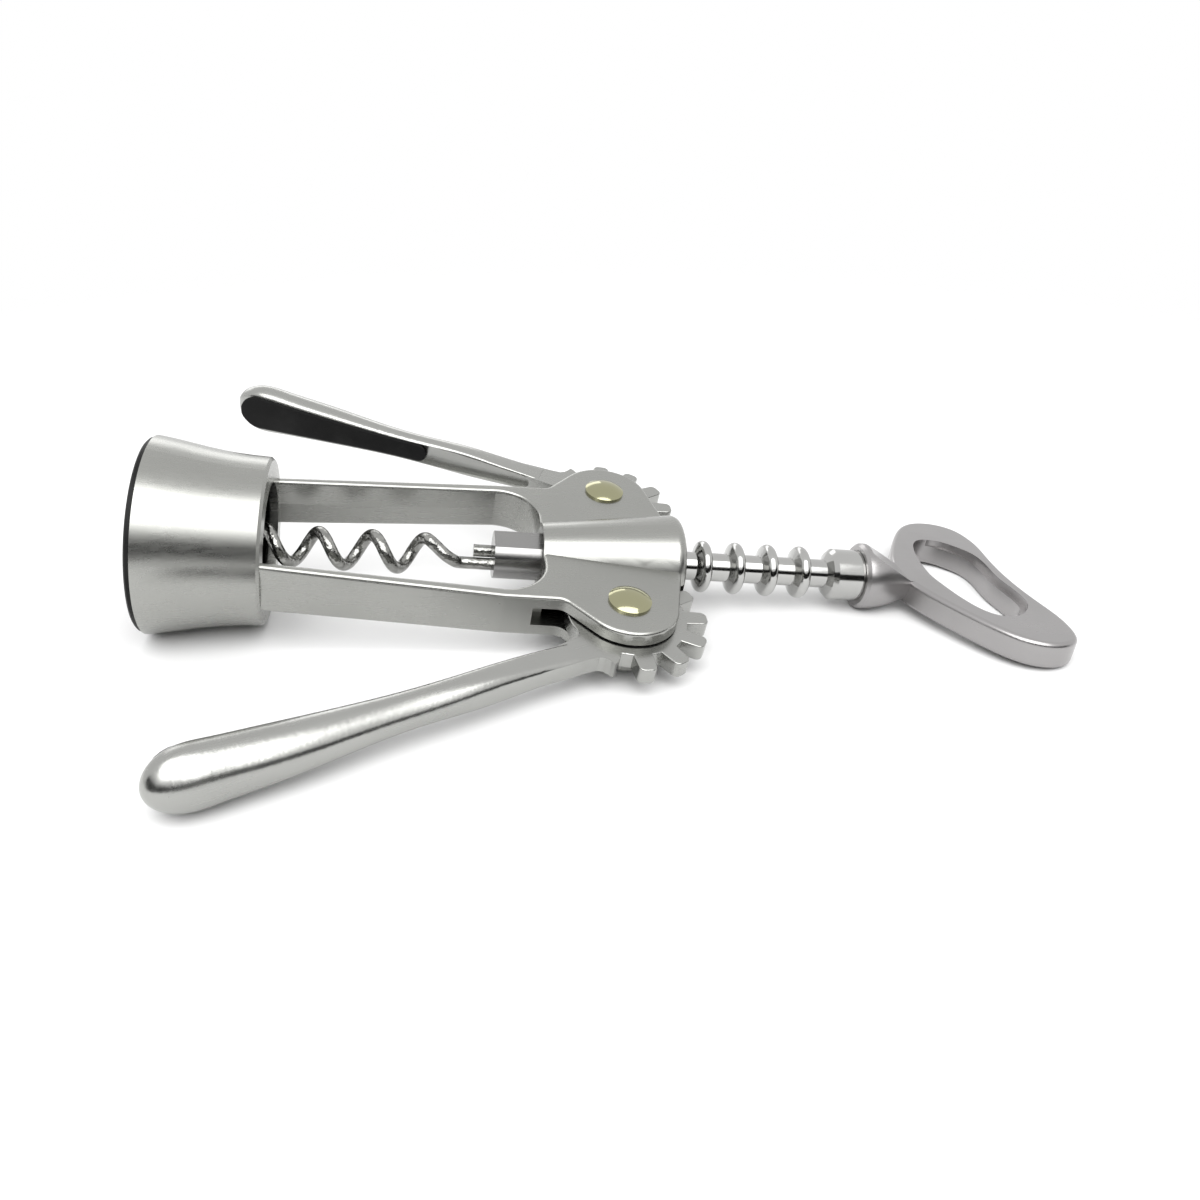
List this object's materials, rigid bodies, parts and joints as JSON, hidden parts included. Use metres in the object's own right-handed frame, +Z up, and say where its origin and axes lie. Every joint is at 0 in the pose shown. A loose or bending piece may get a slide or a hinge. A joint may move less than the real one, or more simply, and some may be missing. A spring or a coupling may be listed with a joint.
{
  "type": "wing corkscrew",
  "caption": "Two-lever wing corkscrew lying on its side: bell with a black mouth liner, rails, geared levers with grip pads, toothed rack, worm and an opener-ring handle.",
  "frame": {"origin": "centre of the bell's mouth, on the shaft's axis", "axes": "tool lies as pictured: +X runs from the bell's mouth towards the handle, +Z is up from the surface it lies on, -Y is the near lever's side; the shaft's axis dips 5.23 degrees towards the handle and the tool is rolled 11.4 degrees towards the near lever"},
  "size_m": [0.1878, 0.1304, 0.0416],
  "materials": {
    "satin_cast_metal": "satin nickel plated zinc casting, fine matt grain",
    "satin_lever_metal": "satin nickel plated zinc casting with a brighter polish",
    "satin_handle_metal": "satin nickel plated zinc casting, slightly warm",
    "bright_rack_metal": "bright nickel plating",
    "holder_metal": "satin nickel plated zinc casting",
    "worm_steel": "plated steel wire",
    "rod_steel": "drawn steel",
    "rivet_brass": "pale polished brass plating",
    "black_plastic": "matt black moulding",
    "black_rubber": "matt black rubber"
  },
  "bodies": {
    "body": {"frame": "satin_cast_metal", "bell_liner": "black_plastic", "near_rivet": "rivet_brass", "far_rivet": "rivet_brass"},
    "rack": {"rack_sleeve": "bright_rack_metal"},
    "spindle": {"spindle_rod": "rod_steel", "worm_holder": "holder_metal", "worm": "worm_steel", "handle": "satin_handle_metal"},
    "near_arm": {"near_lever": "satin_lever_metal", "near_pad": "black_rubber"},
    "far_arm": {"far_lever": "satin_lever_metal", "far_pad": "black_rubber"}
  },
  "joints": [
    {"name": "rack_slide", "type": "slide", "parent": "body", "child": "rack", "axis": [0.9958, 0, -0.0912], "range_m": [-0.0318, 0.0047]},
    {"name": "handle_spin", "type": "hinge", "parent": "rack", "child": "spindle", "pos_m": [0.15037, 0, -0.01377], "axis": [0.9958, 0, -0.0912], "continuous": true},
    {"name": "near_lever_hinge", "type": "hinge", "parent": "body", "child": "near_arm", "pos_m": [0.09744, -0.01902, -0.01278], "axis": [0.0894, -0.1977, 0.9762], "range_deg": [-19, 126]},
    {"name": "far_lever_hinge", "type": "hinge", "parent": "body", "child": "far_arm", "pos_m": [0.09814, 0.01902, -0.00514], "axis": [-0.0894, 0.1977, -0.9762], "range_deg": [-19, 126]}
  ],
  "couplings": [
    {"joint": "near_lever_hinge", "follows": "rack_slide", "rad_per_m": -68.751},
    {"joint": "far_lever_hinge", "follows": "rack_slide", "rad_per_m": -68.751}
  ]
}
